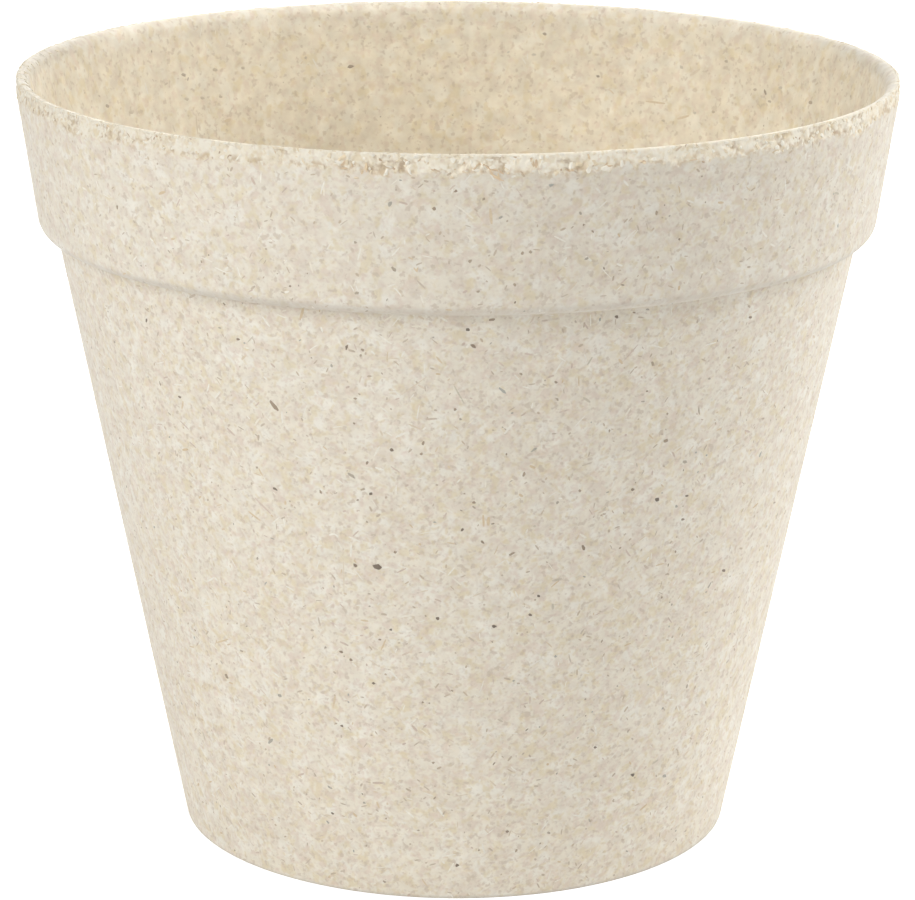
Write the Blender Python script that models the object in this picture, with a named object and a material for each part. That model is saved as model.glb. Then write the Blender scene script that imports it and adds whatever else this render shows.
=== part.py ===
# Tapered plant pot, pressed in one piece from bamboo fibre: a plain conical body under a
# thicker collar, with an upright trimmed band at the rim, and a foot ring round a raised,
# drained floor. Metres, +Z up, origin at the centre of the standing face.

import math

import bmesh
import bpy
from mathutils import Vector

# Outside, from the rim down
RIM_RADIUS = 0.0625            # trimmed band at the rim, the widest place
HEIGHT = 0.1102                # standing face to rim
BAND_HEIGHT = 0.0023           # upright band where the rim was trimmed
RIM_EDGE_RADIUS = 0.0004       # outer edge of the rim's flat top
COLLAR_HEIGHT = 0.0221         # rim down to the collar's underside
COLLAR_DRAFT = 8.3             # degrees from upright
SHOULDER_RADIUS = 0.0027       # round lower edge of the collar
COLLAR_STEP = 0.0024           # collar's lower edge stands out this far from the body
BASE_RADIUS = 0.0398           # body at the standing face
BASE_EDGE_RADIUS = 0.0004      # outer edge of the standing face

# Inside
RIM_WALL = 0.0017              # width of the rim's flat top, from the band to the mouth
LIP_EDGE_RADIUS = 0.0002       # edge between the mouth and the rim's flat top
BODY_WALL = 0.0016             # wall of the body, square to its face
INNER_BEND_RADIUS = 0.0600     # slow bend of the inner wall, level with the collar's underside
FLOOR_THICKNESS = 0.0022
FLOOR_CORNER_RADIUS = 0.0040

# Foot
FOOT_WIDTH = 0.0040            # flat ring that the pot stands on
FOOT_RECESS = 0.0020           # floor's underside above the standing face
FOOT_DRAFT = 30.0              # degrees from upright, inner side of the ring
FOOT_INNER_EDGE_RADIUS = 0.0004
RECESS_CORNER_RADIUS = 0.0010

# Drain holes
DRAIN_RADIUS = 0.0060          # hole in the middle of the floor
SIDE_DRAIN_RADIUS = 0.0025     # smaller holes, halfway from the middle hole to the foot ring
SIDE_DRAIN_COUNT = 4
SIDE_DRAIN_START = 45.0        # degrees, the first of the smaller holes

# Facets
POT_SEGMENTS = 80
HOLE_SEGMENTS = 20
ARC_TOLERANCE = 0.00002        # most that a facet of a rounded corner cuts inside its arc
FLAT_SHARE = 0.02              # least share of a side that stays flat between two rounded corners
CUT_MARGIN = 0.0010            # length of a cutter past each face that it cuts
SHARP_ANGLE = 35.0             # degrees, edges above this stay crisp

# Finish
FIBRE_COLOUR = (0.745, 0.660, 0.540, 1.0)
FIBRE_ROUGHNESS = 0.82


def clear_scene():
    for item in list(bpy.data.objects):
        bpy.data.objects.remove(item, do_unlink=True)


def fibre_material():
    material = bpy.data.materials.new("bamboo_fibre")
    material.use_nodes = True
    shader = material.node_tree.nodes["Principled BSDF"]
    shader.inputs["Base Color"].default_value = FIBRE_COLOUR
    shader.inputs["Roughness"].default_value = FIBRE_ROUGHNESS
    shader.inputs["Metallic"].default_value = 0.0
    material.diffuse_color = FIBRE_COLOUR
    return material


# Levels and radii that follow from the driving sizes

def collar_underside():
    return HEIGHT - COLLAR_HEIGHT


def floor_top():
    return FOOT_RECESS + FLOOR_THICKNESS


def collar_bottom_radius():
    band_bottom = HEIGHT - BAND_HEIGHT
    return RIM_RADIUS - math.tan(math.radians(COLLAR_DRAFT)) * (band_bottom - collar_underside())


def body_top_radius():
    return collar_bottom_radius() - COLLAR_STEP


def body_slope():
    # gain of radius for each metre of height
    return (body_top_radius() - BASE_RADIUS) / collar_underside()


def inner_radius(z):
    # the body's inner wall runs parallel to its outside
    level_wall = BODY_WALL * math.hypot(1.0, body_slope())
    return BASE_RADIUS + body_slope() * z - level_wall


def recess_radius():
    return BASE_RADIUS - FOOT_WIDTH - FOOT_RECESS * math.tan(math.radians(FOOT_DRAFT))


def side_drain_circle():
    return (DRAIN_RADIUS + recess_radius()) / 2.0


def pot_corners():
    # corners of the turned section as (radius, height, rounding), down the outside and up the inside
    underside = collar_underside()
    return [
        (RIM_RADIUS, HEIGHT, RIM_EDGE_RADIUS),
        (RIM_RADIUS, HEIGHT - BAND_HEIGHT, 0.0),
        (collar_bottom_radius(), underside, SHOULDER_RADIUS),
        (body_top_radius(), underside, 0.0),
        (BASE_RADIUS, 0.0, BASE_EDGE_RADIUS),
        (BASE_RADIUS - FOOT_WIDTH, 0.0, FOOT_INNER_EDGE_RADIUS),
        (recess_radius(), FOOT_RECESS, RECESS_CORNER_RADIUS),
        (DRAIN_RADIUS, FOOT_RECESS, 0.0),
        (DRAIN_RADIUS, floor_top(), 0.0),
        (inner_radius(floor_top()), floor_top(), FLOOR_CORNER_RADIUS),
        (inner_radius(underside), underside, INNER_BEND_RADIUS),
        (RIM_RADIUS - RIM_WALL, HEIGHT, LIP_EDGE_RADIUS),
    ]


def arc_steps(radius, turn):
    chord_turn = 2.0 * math.acos(max(0.0, 1.0 - ARC_TOLERANCE / radius))
    return max(2, math.ceil(turn / chord_turn))


def corner_arc(before, corner, after, turn, touch):
    # points of the arc that touches both sides of a corner at the same distance from it
    radius = touch / math.tan(turn / 2.0)
    inward = (before - corner).normalized()
    outward = (after - corner).normalized()
    centre = corner + (inward + outward).normalized() * math.hypot(radius, touch)
    start = corner + inward * touch - centre
    end = corner + outward * touch - centre
    steps = arc_steps(radius, turn)
    points = []
    for step in range(steps + 1):
        angle = turn * step / steps
        points.append(centre + (start * math.sin(turn - angle) + end * math.sin(angle)) / math.sin(turn))
    return points


def rounded_section(corners):
    places = [Vector((radius, height)) for radius, height, _ in corners]
    count = len(places)
    turns = []
    touches = []
    for index, (_, _, rounding) in enumerate(corners):
        before = places[index - 1] - places[index]
        after = places[(index + 1) % count] - places[index]
        turns.append(math.pi - before.angle(after))
        touches.append(rounding * math.tan(turns[index] / 2.0))
    # where two roundings need more than the side between them, both are drawn in alike
    limits = [1.0] * count
    for index in range(count):
        following = (index + 1) % count
        room = (places[following] - places[index]).length * (1.0 - FLAT_SHARE)
        need = touches[index] + touches[following]
        if need > room:
            limits[index] = min(limits[index], room / need)
            limits[following] = min(limits[following], room / need)
    points = []
    for index in range(count):
        touch = touches[index] * limits[index]
        if touch > 0.0:
            before = places[index - 1]
            after = places[(index + 1) % count]
            points.extend(corner_arc(before, places[index], after, turns[index], touch))
        else:
            points.append(places[index])
    return points


def turned_mesh(name, section, segments):
    # spins a closed section in the XZ plane once round the Z axis
    shape = bmesh.new()
    ring = [shape.verts.new((point.x, 0.0, point.y)) for point in section]
    edges = [shape.edges.new((ring[index - 1], ring[index])) for index in range(len(ring))]
    bmesh.ops.spin(
        shape,
        geom=ring + edges,
        cent=(0.0, 0.0, 0.0),
        axis=(0.0, 0.0, 1.0),
        angle=2.0 * math.pi,
        steps=segments,
        use_merge=True,
    )
    bmesh.ops.recalc_face_normals(shape, faces=shape.faces[:])
    mesh = bpy.data.meshes.new(name)
    shape.to_mesh(mesh)
    shape.free()
    mesh.shade_smooth()
    mesh.set_sharp_from_angle(angle=math.radians(SHARP_ANGLE))
    return mesh


def side_drain_places():
    places = []
    for index in range(SIDE_DRAIN_COUNT):
        angle = math.radians(SIDE_DRAIN_START + 360.0 * index / SIDE_DRAIN_COUNT)
        places.append(Vector((math.cos(angle), math.sin(angle), 0.0)) * side_drain_circle())
    return places


def side_drain_cutter():
    # one upright pin for each of the smaller drain holes, past both faces of the floor
    bottom = FOOT_RECESS - CUT_MARGIN
    top = floor_top() + CUT_MARGIN
    shape = bmesh.new()
    for place in side_drain_places():
        pin = bmesh.ops.create_cone(
            shape,
            cap_ends=True,
            segments=HOLE_SEGMENTS,
            radius1=SIDE_DRAIN_RADIUS,
            radius2=SIDE_DRAIN_RADIUS,
            depth=top - bottom,
        )
        bmesh.ops.translate(shape, verts=pin["verts"], vec=place + Vector((0.0, 0.0, (top + bottom) / 2.0)))
    mesh = bpy.data.meshes.new("side_drain_cutter")
    shape.to_mesh(mesh)
    shape.free()
    cutter = bpy.data.objects.new("side_drain_cutter", mesh)
    bpy.context.scene.collection.objects.link(cutter)
    cutter.hide_render = True
    cutter.display_type = "WIRE"
    return cutter


def make_pot(material):
    mesh = turned_mesh("pot", rounded_section(pot_corners()), POT_SEGMENTS)
    mesh.materials.append(material)
    pot = bpy.data.objects.new("pot", mesh)
    bpy.context.scene.collection.objects.link(pot)
    drains = pot.modifiers.new("side_drains", "BOOLEAN")
    drains.operation = "DIFFERENCE"
    drains.solver = "EXACT"
    drains.object = side_drain_cutter()
    return pot


def main():
    clear_scene()
    make_pot(fibre_material())


main()
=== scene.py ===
import math

import bpy
from mathutils import Matrix, Vector


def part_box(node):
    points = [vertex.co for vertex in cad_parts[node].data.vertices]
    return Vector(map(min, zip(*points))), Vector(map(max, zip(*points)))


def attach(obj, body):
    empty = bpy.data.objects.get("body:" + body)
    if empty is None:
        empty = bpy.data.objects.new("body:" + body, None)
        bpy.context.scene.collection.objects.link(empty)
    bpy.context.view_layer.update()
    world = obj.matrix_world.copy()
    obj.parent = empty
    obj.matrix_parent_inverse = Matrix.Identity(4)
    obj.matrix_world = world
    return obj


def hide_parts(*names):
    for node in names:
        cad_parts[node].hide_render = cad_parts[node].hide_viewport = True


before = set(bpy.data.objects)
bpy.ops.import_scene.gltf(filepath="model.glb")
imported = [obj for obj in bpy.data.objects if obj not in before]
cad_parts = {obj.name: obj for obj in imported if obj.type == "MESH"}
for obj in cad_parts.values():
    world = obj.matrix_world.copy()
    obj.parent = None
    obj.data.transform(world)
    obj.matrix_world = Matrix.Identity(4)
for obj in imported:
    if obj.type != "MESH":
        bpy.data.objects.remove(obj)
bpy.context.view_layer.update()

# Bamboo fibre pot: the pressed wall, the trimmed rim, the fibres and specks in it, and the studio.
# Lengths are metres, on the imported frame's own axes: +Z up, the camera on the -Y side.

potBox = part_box("pot")
rimRadius = potBox[1].x
potHeight = potBox[1].z
mm = 0.001
hair = 0.01 * mm                     # slack where heights and radii are compared


# Node trees: a wire is a node's output, and works like a number or a vector

def maths(operation, swapped=False):
    if swapped:
        return lambda wire, other: calc(operation, other, wire)
    return lambda wire, *others: calc(operation, wire, *others)


class Wire:
    def __init__(self, socket):
        self.socket = socket
        self.tree = socket.id_data
        self.isVector = socket.type in {"VECTOR", "RGBA"}

    def __getitem__(self, key):
        # another output of the same node
        return Wire(self.socket.node.outputs[key])

    def part(self, axis):
        return addNode(self.tree, "ShaderNodeSeparateXYZ", {0: self})[axis]

    __add__ = maths("ADD")
    __radd__ = maths("ADD", swapped=True)
    __sub__ = maths("SUBTRACT")
    __rsub__ = maths("SUBTRACT", swapped=True)
    __mul__ = maths("MULTIPLY")
    __truediv__ = maths("DIVIDE")
    __rtruediv__ = maths("DIVIDE", swapped=True)
    __mod__ = maths("FLOORED_MODULO")
    __pow__ = maths("POWER")
    __gt__ = maths("GREATER_THAN")
    __lt__ = maths("LESS_THAN")
    __abs__ = maths("ABSOLUTE")
    dot = maths("DOT_PRODUCT")
    cross = maths("CROSS_PRODUCT")
    length = maths("LENGTH")
    normalized = maths("NORMALIZE")


def plug(value, socket):
    # value: a wire, a list of wires or a plain value
    if isinstance(value, list):
        for wire in value:
            plug(wire, socket)
    elif isinstance(value, Wire):
        value.tree.links.new(value.socket, socket)
    else:
        socket.default_value = value


def addNode(tree, kind, inputs=None, **settings):
    # inputs go by name or number, settings are the node's own; gives the first output
    node = tree.nodes.new(kind)
    for key, value in settings.items():
        setattr(node, key, value)
    for key, value in (inputs or {}).items():
        plug(value, node.inputs[key])
    return Wire(node.outputs[0]) if node.outputs else None


def treeOf(*values):
    return next(value.tree for value in values if isinstance(value, Wire))


def isVector(value):
    return isinstance(value, tuple) or getattr(value, "isVector", False)


def calc(operation, first, *others, clamp=False):
    # a Math node, or a Vector Math node when the first value is a vector
    tree = treeOf(first, *others)
    values = dict(enumerate((first, *others)))
    if not isVector(first):
        return addNode(tree, "ShaderNodeMath", values, operation=operation, use_clamp=clamp)
    if operation == "MULTIPLY" and not isVector(others[0]):
        operation = "SCALE"
        values = {0: first, "Scale": others[0]}
    output = "Value" if operation in {"DOT_PRODUCT", "LENGTH"} else "Vector"
    return addNode(tree, "ShaderNodeVectorMath", values, operation=operation)[output]


def newTree(name, kind="GeometryNodeTree"):
    return bpy.data.node_groups.new(name, kind)


def addInputs(tree, **sockets):
    # sockets: the kind, then the names
    for kind, names in sockets.items():
        for name in names:
            tree.interface.new_socket(name, in_out="INPUT", socket_type="NodeSocket" + kind)
    return addNode(tree, "NodeGroupInput")


def addOutputs(tree, **wires):
    for name, wire in wires.items():
        kind = "Geometry" if wire.socket.type == "GEOMETRY" else "Float"
        tree.interface.new_socket(name, in_out="OUTPUT", socket_type="NodeSocket" + kind)
    addNode(tree, "NodeGroupOutput", wires)


def useGroup(tree, group, inputs=None):
    kind = "ShaderNodeGroup" if tree.bl_idname == "ShaderNodeTree" else "GeometryNodeGroup"
    return addNode(tree, kind, inputs, node_tree=group)


def combine(x, y, z=0.0):
    return addNode(treeOf(x, y, z), "ShaderNodeCombineXYZ", {"X": x, "Y": y, "Z": z})


def ease(value, low, high):
    # 0 below low, 1 above high, eased between
    inputs = {"Value": value, "From Min": low, "From Max": high}
    return addNode(value.tree, "ShaderNodeMapRange", inputs, interpolation_type="SMOOTHSTEP")


def remap(value, low, high, toLow, toHigh):
    inputs = {"Value": value, "From Min": low, "From Max": high, "To Min": toLow, "To Max": toHigh}
    return addNode(value.tree, "ShaderNodeMapRange", inputs)


def noise(place, size, detail=2.0, roughness=0.5, seed=0.0):
    # soft noise, 0 to 1, with waves about this long
    inputs = {"Vector": place, "W": seed, "Scale": 1.0 / size, "Detail": detail, "Roughness": roughness}
    return addNode(place.tree, "ShaderNodeTexNoise", inputs, noise_dimensions="4D")


def position(tree):
    return addNode(tree, "GeometryNodeInputPosition")


def move(geometry, **where):
    # where: Position or Offset
    return addNode(geometry.tree, "GeometryNodeSetPosition", {"Geometry": geometry} | where)


def realized(geometry):
    return addNode(geometry.tree, "GeometryNodeRealizeInstances", {"Geometry": geometry})


def readAttribute(tree, name, kind="FLOAT"):
    if tree.bl_idname == "ShaderNodeTree":
        return addNode(tree, "ShaderNodeAttribute", attribute_name=name)["Fac"]
    return addNode(tree, "GeometryNodeInputNamedAttribute", {"Name": name}, data_type=kind)["Attribute"]


def storeAttribute(geometry, name, value, kind="FLOAT", domain="POINT"):
    tree = geometry.tree
    inputs = {"Geometry": geometry, "Name": name, "Value": value}
    return addNode(tree, "GeometryNodeStoreNamedAttribute", inputs, data_type=kind, domain=domain)


def mixColour(share, first, second, blend="MIX"):
    tree = treeOf(share, first, second)
    inputs = {0: share, 6: first, 7: second}
    return addNode(tree, "ShaderNodeMix", inputs, data_type="RGBA", blend_type=blend)[2]


def toned(colour, tone):
    return mixColour(1.0, colour, combine(tone, tone, tone), "MULTIPLY")


def finishTree(geometry, material, smooth=True):
    tree = geometry.tree
    inputs = {"Geometry": realized(geometry), "Shade Smooth": smooth}
    shaded = addNode(tree, "GeometryNodeSetShadeSmooth", inputs)
    dressed = addNode(tree, "GeometryNodeSetMaterial", {"Geometry": shaded, "Material": material})
    addOutputs(tree, Piece=dressed)


def camelCase(name):
    return name[0].lower() + name.title().replace(" ", "")[1:]


def grow(name, source, tree, values):
    # runs a geometry node tree on a mesh and keeps the result as a plain mesh object
    piece = bpy.data.objects.new(name, source)
    bpy.context.scene.collection.objects.link(piece)
    modifier = piece.modifiers.new(name, "NODES")
    modifier.node_group = tree
    for item in tree.interface.items_tree:
        if item.in_out == "INPUT" and camelCase(item.name) in values:
            modifier[item.identifier] = values[camelCase(item.name)]
    graph = bpy.context.evaluated_depsgraph_get()
    plain = bpy.data.meshes.new_from_object(
        piece.evaluated_get(graph), preserve_all_data_layers=True, depsgraph=graph
    )
    piece.modifiers.remove(modifier)
    plain.materials.clear()          # cutters leave an empty slot
    plain.materials.append(values["material"])
    plain.polygons.foreach_set("material_index", [0] * len(plain.polygons))
    piece.data = plain
    plain.name = name
    print(f"{name}: {sum(len(face.vertices) - 2 for face in plain.polygons)} triangles")
    return piece


def finishPiece(piece):
    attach(piece, "root")
    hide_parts("pot")
    return piece


# Turning: a section of (radius, height) points swept once round the axis

def sideSteps(length, rows, support):
    # even steps with a short one at each end, so that smooth shading stays crisp at the corners
    steps = [step / rows for step in range(1, rows)]
    share = support / length
    if share < 0.5 / rows:
        steps = [share] + steps + [1 - share]
    return steps


def roundedRows(corners, support=0.15 * mm):
    # corners: radius, height, rounding, rows on the rounding, rows on the side that follows
    places = [Vector(corner[:2]) for corner in corners]
    arcs = []
    for index, (_, _, rounding, arcRows, _) in enumerate(corners):
        corner = places[index]
        before = (places[index - 1] - corner).normalized()
        after = (places[(index + 1) % len(places)] - corner).normalized()
        turn = math.pi - before.angle(after)
        touch = rounding * math.tan(turn / 2)
        if touch == 0:
            arcs.append([corner])
            continue
        centre = corner + (before + after).normalized() * math.hypot(rounding, touch)
        start = corner + before * touch - centre
        end = corner + after * touch - centre
        arc = []
        for angle in (turn * step / arcRows for step in range(arcRows + 1)):
            reach = start * math.sin(turn - angle) + end * math.sin(angle)
            arc.append(centre + reach / math.sin(turn))
        arcs.append(arc)
    rows = []
    for index, arc in enumerate(arcs):
        rows.extend(arc)
        following = arcs[(index + 1) % len(arcs)][0]
        steps = sideSteps((following - arc[-1]).length, corners[index][4], support)
        rows.extend(arc[-1].lerp(following, step) for step in steps)
    return rows


def sectionMesh(rows, firstInner):
    # "along" is the share of the way round the section, "inner" is 1 on the rows inside the pot
    mesh = bpy.data.meshes.new("section")
    mesh.from_pydata([(row.x, 0, row.y) for row in rows], [], [])
    steps = [(row - rows[index - 1]).length for index, row in enumerate(rows)]
    for name in ("along", "inner"):
        mesh.attributes.new(name, "FLOAT", "POINT")
    for index in range(len(rows)):
        mesh.attributes["along"].data[index].value = sum(steps[1:index + 1]) / sum(steps)
        mesh.attributes["inner"].data[index].value = 1.0 if index >= firstInner else 0.0
    return mesh


def turningTree():
    tree = newTree("turning")
    given = addInputs(tree, Geometry=["Section"], Int=["Rows", "Segments"])
    sizes = {
        "Size X": 1.0,
        "Size Y": 1.0,
        "Vertices X": given["Rows"] + 1.0,
        "Vertices Y": given["Segments"] + 1.0,
    }
    grid = addNode(tree, "GeometryNodeMeshGrid", sizes)
    place = position(tree)
    row = calc("ROUND", (place.part("X") + 0.5) * given["Rows"])
    isLast = row > given["Rows"] - 0.5
    wrapped = row % given["Rows"]
    around = place.part("Y") + 0.5

    def fromSection(value, kind):
        inputs = {"Geometry": given["Section"], "Value": value, "Index": wrapped}
        return addNode(tree, "GeometryNodeSampleIndex", inputs, data_type=kind)["Value"]

    along = fromSection(readAttribute(tree, "along"), "FLOAT") + isLast
    mapped = storeAttribute(grid, "OFBake", combine(around, along), "FLOAT2", "CORNER")
    marked = storeAttribute(mapped, "inner", fromSection(readAttribute(tree, "inner"), "FLOAT"))
    section = fromSection(place, "FLOAT_VECTOR")
    inputs = {"Vector": section, "Axis": (0, 0, 1), "Angle": around * (2 * math.pi)}
    lathe = move(marked, Position=addNode(tree, "ShaderNodeVectorRotate", inputs))
    inputs = {"Geometry": lathe, "Distance": 0.001 * mm}
    closed = addNode(tree, "GeometryNodeMergeByDistance", inputs)
    addOutputs(tree, Turned=closed)
    return tree


def turnedSection(tree, given, turning):
    return useGroup(tree, turning, {name: given[name] for name in ("Section", "Rows", "Segments")})


def trimmedToBox(place):
    # nothing stands out past the rim's radius or top
    margin = 0.005 * mm
    reach = (place * (1, 1, 0)).length()
    share = calc("MINIMUM", (rimRadius - margin) / reach, 1.0)
    level = calc("MINIMUM", place.part("Z"), potHeight - margin)
    return combine(place.part("X") * share, place.part("Y") * share, level)


# Where the trimmed band ends: its lower edge wanders up and down round the pot

bandEdge = {
    "bandHeight": 2.3 * mm,
    "tear": 0.9 * mm,                # torn detail
    "tearLength": 0.8 * mm,
    "wander": 1.5 * mm,
    "wanderLength": 2.4 * mm,
    "drift": 0.9 * mm,               # slow rise and fall
    "driftLength": 11 * mm,
    "flattening": 0.35,              # the noise is stretched up and down
    "seed": 3.0,
}


def bandLevelTree():
    # height above the band's torn lower edge
    tree = newTree("heightAboveBandEdge")
    place = position(tree)
    ring = place * (1, 1, bandEdge["flattening"])
    level = potHeight - bandEdge["bandHeight"]
    for step, name in enumerate(("tear", "wander", "drift")):
        wave = noise(ring, bandEdge[name + "Length"], 2.0, 0.55, bandEdge["seed"] + step)
        level = level + (wave - 0.5) * (bandEdge[name] * 2)
    addOutputs(tree, Above=place.part("Z") - level)
    return tree


# The pressed wall: one turned shell, recessed under the trimmed rim

potShape = {
    "skinInset": 0.05 * mm,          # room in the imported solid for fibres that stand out
    "rimRecess": 0.8 * mm,           # the shell lies this far under the trimmed rim
    "recessLedge": 0.2 * mm,
    "collarHeight": 22.1 * mm,
    "collarDraft": 8.3,              # degrees
    "collarStep": 2.3 * mm,
    "shoulderRadius": 2.3 * mm,
    "grooveRadius": 0.3 * mm,
    "baseRadius": 39.9 * mm,
    "baseEdge": 0.2 * mm,
    "rimWall": 1.7 * mm,
    "lipWidth": 1.5 * mm,            # smooth part of the rim's top
    "lipEdge": 1.6 * mm,             # rounding into the mouth
    "lipTuck": ((0.06 * mm, 0.22 * mm), (0.35 * mm, 0.5 * mm)),  # in and down, under the trimmed rim
    "bodyWall": 1.6 * mm,
    "innerBend": 60 * mm,
    "floorThickness": 2.2 * mm,
    "floorCorner": 4 * mm,
    "footWidth": 4 * mm,
    "footRecess": 2 * mm,
    "footDraft": 30,                 # degrees
    "footInnerEdge": 0.4 * mm,
    "recessCorner": 1 * mm,
    "drainRadius": 6 * mm,
    "drainEdge": 0.3 * mm,
    "sideDrainRadius": 2.5 * mm,
    "sideDrains": 4,
    "sideDrainSides": 40,
    "segments": 720,
    "waveDepth": 0.05 * mm,          # slow waves from shrinking as it dries
    "waveLength": 22 * mm,
    "waveMiddle": 0.9,               # noise level that leaves the skin where it is
    "stain": (-1.3 * mm, -0.1 * mm),  # height to the band's edge where the ochre stain starts and is full
    "bareLip": 0.2 * mm,             # no fibres this near the top or the foot
    "bareFoot": 0.3 * mm,
    "crumbsToward": (-0.8, -0.6, 0.0),
    "crumbSpan": (28 * mm, 48 * mm),  # crumbs lie on the lip from here on that way
    "crumbDrop": 0.6 * mm,
    "seed": 2.0,
}


def collarRadius(z):
    # the collar's outside at a height under the band
    below = potHeight - bandEdge["bandHeight"] - z
    return rimRadius - potShape["skinInset"] - math.tan(math.radians(potShape["collarDraft"])) * below


def undersideLevel():
    return potHeight - potShape["collarHeight"]


def bodySlope():
    underside = undersideLevel()
    return (collarRadius(underside) - potShape["collarStep"] - potShape["baseRadius"]) / underside


def innerRadius(z):
    levelWall = potShape["bodyWall"] * math.hypot(1, bodySlope())
    return potShape["baseRadius"] + bodySlope() * z - levelWall


def recessRadius():
    lean = math.tan(math.radians(potShape["footDraft"]))
    return potShape["baseRadius"] - potShape["footWidth"] - potShape["footRecess"] * lean


def potCorners():
    shape = potShape
    top = potHeight - shape["skinInset"]
    underside = undersideLevel()
    joint = rimFoot() + rimShape["overlap"]
    floorTop = shape["footRecess"] + shape["floorThickness"]
    base = shape["baseRadius"] - shape["skinInset"]
    lip = rimRadius - shape["rimWall"]
    lipEnd = lip + shape["lipWidth"]
    ledge = rimRadius - shape["rimRecess"]
    return [
        (ledge, top - shape["rimRecess"], 0, 1, 2),
        (ledge, joint + shape["recessLedge"], 0, 1, 1),
        (collarRadius(joint), joint, 0, 1, 7),
        (collarRadius(underside), underside, shape["shoulderRadius"], 10, 1),
        (collarRadius(underside) - shape["collarStep"], underside, shape["grooveRadius"], 4, 12),
        (base, 0, shape["baseEdge"], 3, 2),
        (base - shape["footWidth"], 0, shape["footInnerEdge"], 2, 1),
        (recessRadius(), shape["footRecess"], shape["recessCorner"], 3, 4),
        (shape["drainRadius"], shape["footRecess"], shape["drainEdge"], 2, 1),
        (shape["drainRadius"], floorTop, shape["drainEdge"], 2, 4),
        (innerRadius(floorTop), floorTop, shape["floorCorner"], 7, 10),
        (innerRadius(underside), underside, shape["innerBend"], 4, 6),
        (lip, top, shape["lipEdge"], 8, 1),
        (lipEnd, top, 0, 1, 1),
    ] + [(lipEnd - inwards, top - down, 0, 1, 1) for inwards, down in shape["lipTuck"]]


def sideDrainCutters(tree):
    ring = {"Vertices": potShape["sideDrains"], "Radius": (potShape["drainRadius"] + recessRadius()) / 2}
    circle = addNode(tree, "GeometryNodeMeshCircle", ring)
    size = {
        "Vertices": potShape["sideDrainSides"],
        "Radius": potShape["sideDrainRadius"],
        "Depth": 4 * potShape["footRecess"],
    }
    pin = addNode(tree, "GeometryNodeMeshCylinder", size)
    pins = realized(addNode(tree, "GeometryNodeInstanceOnPoints", {"Points": circle, "Instance": pin}))
    level = potShape["footRecess"] + potShape["floorThickness"] / 2
    turn = math.pi / potShape["sideDrains"]
    inputs = {"Geometry": pins, "Translation": (0, 0, level), "Rotation": (0, 0, turn)}
    return addNode(tree, "GeometryNodeTransform", inputs)


def pressedWallTree(turning, aboveBand):
    tree = newTree("pressedWall")
    given = addInputs(
        tree,
        Geometry=["Section"],
        Int=["Rows", "Segments"],
        Float=["Wave depth", "Wave length", "Seed"],
        Material=["Material"],
    )
    shape = potShape
    place = position(tree)
    z = place.part("Z")
    inner = readAttribute(tree, "inner")
    outside = 1.0 - inner
    above = useGroup(tree, aboveBand)
    onLip = (z > potHeight - shape["crumbDrop"]) * inner
    crumbly = ease(place.dot(shape["crumbsToward"]), *shape["crumbSpan"]) * onLip
    underRim = (z > rimFoot()) * outside
    lip = z > potHeight - shape["bareLip"]
    bare = calc("MAXIMUM", calc("MAXIMUM", underRim, lip), z < shape["bareFoot"])
    marked = turnedSection(tree, given, turning)
    marked = storeAttribute(marked, "stain", ease(above, *shape["stain"]) * outside)
    marked = storeAttribute(marked, "band", crumbly)
    marked = storeAttribute(marked, "skin", 1.0 - bare)

    wave = noise(place, given["Wave length"], 1.0, 0.5, given["Seed"])
    normal = addNode(tree, "GeometryNodeInputNormal")
    waved = move(marked, Offset=normal * ((wave - shape["waveMiddle"]) * given["Wave depth"]))
    inputs = {0: waved, 1: sideDrainCutters(tree)}
    drained = addNode(tree, "GeometryNodeMeshBoolean", inputs, operation="DIFFERENCE", solver="MANIFOLD")
    finishTree(drained, given["Material"])
    return tree


# The trimmed rim: a ring that is pressed skin under the torn edge and broken fibre above it

rimShape = {
    "topBack": 0.16 * mm,            # broken top lies this far under the lip
    "topSpan": 0.3 * mm,             # what lies within this of the pot's height is top
    "skin": 0.012 * mm,              # smooth part lies this far over the wall
    "stand": 0.11 * mm,              # broken part stands this far off the skin
    "standLength": 2.2 * mm,
    "standRange": (0.4, 0.6, 0.2, 1.8),  # noise levels, and the share of the stand there
    "overLip": 1.44 * mm,            # the ring starts this far from the mouth
    "lipFade": 0.3 * mm,             # and is broken to its full depth this far on
    "reach": 3.0 * mm,               # the ring goes on this far under the band's mean lower edge
    "hem": 0.02 * mm,
    "overlap": 0.4 * mm,
    "edgeRadius": 0.2 * mm,
    "thickness": 0.9 * mm,
    "coreMargin": 0.1 * mm,          # the ring's back stays smooth to this far out
    "segments": 2400,
    "tornSpan": (-0.05 * mm, 0.12 * mm),  # height to the torn edge where it starts and is fully broken
    "chipDepth": 0.42 * mm,
    "chipSize": 0.95 * mm,
    "chipDome": (0.85, 0.1),         # distance from a chip's middle where its dome ends and is full
    "chipShare": 0.75,
    "chipFloor": 0.3,                # least height of a chip
    "grainSize": 0.45 * mm,
    "grainShare": 0.7,
    "worn": 0.25,                    # share of the height that is worn away
    "warpScale": 900.0,              # bends the chips' outlines
    "warpDepth": 0.6 * mm,
    "roughLength": 5 * mm,           # stretches of rough and nearly smooth rim
    "roughRange": (0.38, 0.56, 0.5, 1.0),  # noise levels, and the share of the depth there
    "edgeSpan": (1.0 * mm, 0.0),     # height above the torn edge where its brown tint ends and is full
    "stain": (-1.1 * mm, 0.0),       # and below it, where the ochre stain starts and is full
    "seed": 6.0,
}


def rimFoot():
    return potHeight - bandEdge["bandHeight"] - rimShape["reach"]


def rimLip():
    return rimRadius - potShape["rimWall"] + rimShape["overLip"]


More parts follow.
